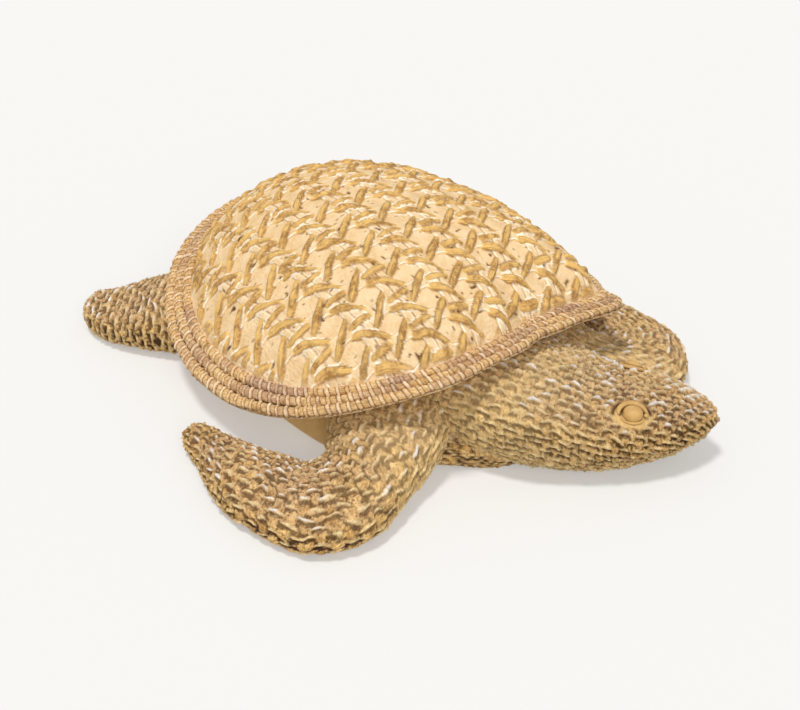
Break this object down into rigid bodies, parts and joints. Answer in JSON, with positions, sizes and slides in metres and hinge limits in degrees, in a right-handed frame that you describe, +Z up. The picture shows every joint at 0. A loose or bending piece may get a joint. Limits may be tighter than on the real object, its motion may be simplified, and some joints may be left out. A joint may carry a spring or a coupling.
{
  "type": "turtle statuette",
  "caption": "Sea turtle statuette on its flippers and belly, head turned to its left, with a cane-woven domed shell, a rope rim and a woven skin, for a shelf or table.",
  "frame": {"origin": "on the flat underside, below the middle of the shell", "axes": "+X towards the shell's front, +Y to the turtle's left, +Z up from the surface it stands on"},
  "size_m": [0.2266, 0.1988, 0.0742],
  "materials": {
    "straw_resin": "matte straw-coloured resin with an ochre and brown wash and a pale dry-brush on the raised weave"
  },
  "bodies": {
    "root": {"turtle": "straw_resin"}
  },
  "joints": []
}
